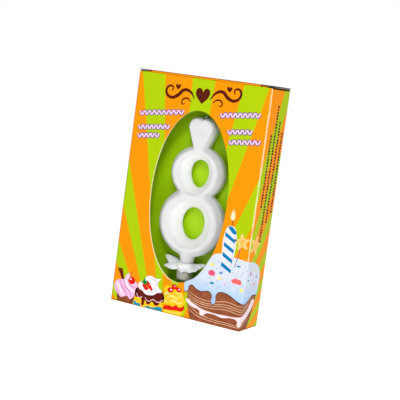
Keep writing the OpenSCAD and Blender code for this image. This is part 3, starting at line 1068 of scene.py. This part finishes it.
def wax(name):
    """White paraffin: soft inside light, faint flow marks, a hair of a mould seam.

    Painted light and shade: the bowls round the counters are painted whiter than the flat rings, and the
    shoulders greyer still.
    """
    material, add, join = nodes_of(
        name, Roughness=0.38, Specular_IOR_Level=0.45, Subsurface_Weight=0.8, Subsurface_Scale=0.005,
        Subsurface_Radius=(1.0, 0.95, 0.85), Coat_Weight=0.12, Coat_Roughness=0.3,
    )
    place = add("TexCoord").outputs["Object"]
    flow, pores = clouds(add, place, 160.0, 4.0), clouds(add, place, 1500.0, 2.0)
    share = ramp(add, flow, 0.35, 0.7)
    x, depth, z = add("SeparateXYZ", place).outputs
    off_seam = sum_of(add, "ABSOLUTE", sum_of(add, "SUBTRACT", depth, wax_y * MM))
    out = 10.0
    for cz, rx, rz in ((low_z, low_rx, low_rz), (high_z, high_rx, high_rz), (95.5, 8.2, 10.2)):
        across = sum_of(add, "MULTIPLY", x, 1 / rx / MM)
        up = sum_of(add, "MULTIPLY_ADD", z, 1 / rz / MM, -cz / rz)
        out = sum_of(add, "MINIMUM", out, length_of(add, across, up))
    edge, face = ramp(add, out, 0.8, 0.86), ramp(add, off_seam, 0.0026, 0.0044)
    # painted light: whiter bowls, plain rings, painted shade on the shoulders
    bowl = mixed(add, share, colour(241, 240, 242), colour(235, 234, 236))
    plateau = mixed(add, share, colour(224, 223, 226), colour(218, 217, 220))
    shoulder = mixed(add, share, colour(217, 217, 220), colour(211, 211, 214))
    join(mixed(add, edge, mixed(add, face, bowl, plateau), shoulder), "Base Color")
    seam = ramp(add, off_seam, 0.0, 0.0002, 1.0, 0.0)
    skin = relief(add, 0.22, 0.0006, flow, relief(add, 0.12, 0.0002, pores))
    join(relief(add, 0.5, 0.0002, seam, skin), "Normal")
    join(ramp(add, flow, 0.3, 0.7, 0.32, 0.46), "Roughness")
    return material


# The two rings, the waist between them, and the heart, each lobe drawn down to the heart's point.
solid = bmesh.new()
slab(solid, 2.8, (0, low_z, low_rx, low_rz))
slab(solid, 2.6, (0, high_z, high_rx, high_rz))
slab(solid, 2.6, (0, 64.2, 9.6, 5.2))
for side in (-1, 1):
    slab(solid, 1.2, (side * 2.9, lobe_z, 5.1, 5.0), (side * 0.4, 95.0, 5.9, 5.0), (0, 89.0, 3.9, 4.0))

# The stub, and the flare where it grows out of the lower ring.
for foot, top, r_foot, r_top in ((stub_foot + 0.1, 31.0, 3.4, 3.45), (27.2, 32.5, 3.5, 4.4)):
    stub = bmesh.ops.create_cone(
        solid, cap_ends=True, segments=48, radius1=r_foot, radius2=r_top, depth=top - foot
    )["verts"]
    bmesh.ops.translate(solid, vec=(0, wax_y, (foot + top) / 2), verts=stub)

# One skin over all of it, the counters cut through, and the edges softened as wax comes out of a mould.
raw_numeral = loose("raw_numeral", solid)
modified(raw_numeral, "REMESH", mode="VOXEL", voxel_size=0.42)
holes = bmesh.new()
counter(holes, 48.3, 6.3, 8.4, 8.0, 5.8, 0.05)
counter(holes, 74.8, 5.1, 7.1, 6.0, 5.2, 0.1)
cutter = loose("counter_cutter", holes)
modified(cutter, "REMESH", mode="VOXEL", voxel_size=0.3)
modified(raw_numeral, "BOOLEAN", operation="DIFFERENCE", object=cutter, solver="EXACT")
modified(raw_numeral, "REMESH", mode="VOXEL", voxel_size=0.36)
modified(raw_numeral, "SMOOTH", factor=0.5, iterations=14)
numeral = bmesh.new()
numeral.from_mesh(raw_numeral.data)
for spare in (raw_numeral, cutter):
    bpy.data.objects.remove(spare)
piece("numeral_eight", numeral, [wax("paraffin")], "candle", ("numeral_wax",), smooth=80)


# --- The wick ------------------------------------------------------------------------------------
# Three strands of cotton laid up and dipped in wax. Only the tip stands out of the heart's notch.

wick_low, wick_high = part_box("wick")
wick_top, wick_r = wick_high.z / MM, (wick_high.x - wick_low.x) / 2 / MM
wick_foot, wick_turns, wick_steps = 100.5, 1.6, 24
strand_r, lay = wick_r * 0.52, wick_r * 0.44


def cotton(name):
    """Cotton yarn stiff with wax: fine slanting fibres, off-white, a little grey at the tip."""
    material, add, join = nodes_of(name, Roughness=0.6, Subsurface_Weight=0.1, Subsurface_Scale=0.001)
    place = add("TexCoord").outputs["Object"]
    fibre = add("TexWave", place, 900.0, 6.0, 2.0).outputs["Fac"]
    height = add("SeparateXYZ", place).outputs[2]
    tip = ramp(add, height, (wick_top - 1.0) * MM, wick_top * MM, 0.0, 0.7)
    join(mixed(add, tip, colour(226, 226, 222), colour(158, 158, 160)), "Base Color")
    join(relief(add, 0.4, 0.0002, fibre), "Normal")
    return material


wick = bmesh.new()
for strand in range(3):
    curve = bpy.data.curves.new("strand", "CURVE")
    curve.dimensions, curve.use_fill_caps, curve.bevel_resolution = "3D", True, 2
    curve.bevel_depth = strand_r
    spline = curve.splines.new("POLY")
    spline.points.add(wick_steps)
    for i, point in enumerate(spline.points):
        turn = strand * 2 * pi / 3 + wick_turns * 2 * pi * i / wick_steps
        rise = wick_foot + (wick_top - wick_foot - 0.1) * i / wick_steps
        point.co = (lay * cos(turn), wax_y + lay * sin(turn), rise, 1)
    flat = bpy.data.objects.new("strand", curve)
    scene.collection.objects.link(flat)
    bpy.context.view_layer.update()
    wick.from_mesh(bpy.data.meshes.new_from_object(flat))
    bpy.data.objects.remove(flat)
piece("wick_cotton", wick, [cotton("waxed_cotton")], "candle", ("wick",), smooth=60)


# --- The flower collar ---------------------------------------------------------------------------
# A moulded ring of six ribbed leaves in milky plastic, pressed over the rim of the cup. The carton
# has bent the front and back leaves, so they reach less far than the ones at the sides.

hub_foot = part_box("flower_collar")[0].z / MM


def milky(name):
    """White translucent moulding plastic, glossy, with faint draw marks."""
    material, add, join = nodes_of(
        name, Roughness=0.3, Subsurface_Weight=0.2, Subsurface_Scale=0.001, IOR=1.49, Coat_Weight=0.15,
        Coat_Roughness=0.2,
    )
    place = add("TexCoord").outputs["Object"]
    drawn = clouds(add, place, 500.0, 3.0)
    join(mixed(add, ramp(add, drawn, 0.35, 0.65), colour(248, 248, 248), colour(236, 237, 240)), "Base Color")
    join(relief(add, 0.15, 0.0003, drawn), "Normal")
    return material


def lathe(bm, profile, steps, closed=False):
    """Spins a profile of radii and heights round the upright axis; a closed one is a ring."""
    knots = [bm.verts.new((r, 0, z)) for r, z in profile]
    ends = knots[1:] + knots[:1] if closed else knots[1:]
    edges = [bm.edges.new(pair) for pair in zip(knots, ends)]
    bmesh.ops.spin(
        bm, geom=knots + edges, cent=(0, 0, 0), axis=(0, 0, 1), angle=2 * pi, steps=steps, use_merge=True
    )


# A leaf is a ribbed, arched blade; each has its own way round, reach, lift and roll.
collar = bmesh.new()
leaf_root, leaf_half_w, leaf_ribs, rib_height, leaf_arch, leaf_rise = 3.0, 2.9, 5, 0.16, 0.75, 1.3
leaf_thick = 0.4
for azimuth, reach, lift, roll in (
    (350, 12.6, 2.4, 36), (90, 5.0, 4.2, 0), (176, 13.6, 2.9, -36), (206, 11.6, -1.2, -32),
    (278, 7.2, -2.6, 0), (326, 11.4, -0.4, 32),
):
    leaf = bmesh.ops.create_grid(collar, x_segments=22, y_segments=20, size=1.0)["verts"]
    for v in leaf:
        s, t = (v.co.x + 1) / 2, v.co.y
        half = leaf_half_w * sin(pi * (0.2 + 0.8 * s)) ** 0.8 + 0.02
        rib = rib_height * cos(leaf_ribs * pi * t) * (1 - s * s) * min(1.0, 3 * s)
        arch = -leaf_arch * t * t * sin(pi * min(1.0, s + 0.15))
        v.co = (leaf_root + s * (reach - leaf_root), t * half, arch + rib)
    bmesh.ops.rotate(collar, cent=(0, 0, 0), matrix=Matrix.Rotation(radians(roll), 3, "X"), verts=leaf)
    for v in leaf:
        s = (v.co.x - leaf_root) / (reach - leaf_root)
        v.co.z += leaf_rise + lift * s ** 1.4
    bmesh.ops.rotate(collar, cent=(0, 0, 0), matrix=Matrix.Rotation(radians(azimuth), 3, "Z"), verts=leaf)
bmesh.ops.remove_doubles(collar, verts=collar.verts, dist=0.005)
bmesh.ops.recalc_face_normals(collar, faces=collar.faces)
bmesh.ops.solidify(collar, geom=collar.faces[:], thickness=leaf_thick)
hub = [(3.75, 0.0), (5.0, 0.0), (5.3, 0.4), (5.2, 1.6), (4.7, 2.6), (4.1, 3.0), (3.75, 2.8)]
lathe(collar, hub, 48, closed=True)
bmesh.ops.translate(collar, vec=(0, wax_y, hub_foot), verts=collar.verts)
bmesh.ops.recalc_face_normals(collar, faces=collar.faces)
milky_plastic = milky("milky_plastic")
piece("collar_leaves", collar, [milky_plastic], "pick", ("flower_collar",), smooth=50)


# --- The pick ------------------------------------------------------------------------------------
# One injection moulding in clear, slightly smoky plastic: a fluted cup for the wax stub, over a
# round spike that goes into the cake, and here into the shelf.

pick_low, pick_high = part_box("pick_holder")
cup_r, cup_rim, spike_tip = pick_high.x / MM, pick_high.z / MM, pick_low.z / MM
cup_foot, cup_floor, bore_r, spike_r, spike_tip_r = 18.2, 19.4, 3.5, 1.5, 0.25
flutes, flute_share = 16, 0.012


def smoky(name):
    """Clear polystyrene with a grey cast, glossy, with fine mould scratches."""
    material, add, join = nodes_of(
        name, Roughness=0.2, IOR=1.45, Transmission_Weight=0.35, Base_Color=colour(222, 219, 208)
    )
    place = add("TexCoord").outputs["Object"]
    join(relief(add, 0.2, 0.0003, clouds(add, place, 700.0, 3.0)), "Normal")
    return material


pick = bmesh.new()
cup = [
    (0, cup_foot), (cup_r - 0.7, cup_foot), (cup_r - 0.2, cup_foot + 0.3), (cup_r - 0.05, cup_foot + 1.0),
    (cup_r, cup_rim - 0.3), (cup_r - 0.2, cup_rim), (bore_r + 0.2, cup_rim), (bore_r, cup_rim - 0.3),
    (bore_r, cup_floor), (0, cup_floor),
]
lathe(pick, cup, 64)
for v in pick.verts:
    on_wall = cup_foot + 0.8 < v.co.z < cup_rim - 0.1
    if on_wall and v.co.xy.length > cup_r - 0.1:
        v.co.xy *= 1 - flute_share * (1 + cos(flutes * v.co.xy.angle_signed(Vector((1, 0)), 0)))
spike = bmesh.ops.create_cone(
    pick, cap_ends=True, segments=24, radius1=spike_tip_r, radius2=spike_r, depth=cup_foot - spike_tip
)["verts"]
bmesh.ops.translate(pick, vec=(0, 0, (cup_foot + spike_tip) / 2), verts=spike)
bmesh.ops.remove_doubles(pick, verts=pick.verts, dist=0.001)
bmesh.ops.translate(pick, vec=(0, wax_y, 0), verts=pick.verts)
bmesh.ops.recalc_face_normals(pick, faces=pick.faces)
piece("clear_pick", pick, [smoky("smoky_clear")], "pick", ("pick_holder",), smooth=50)
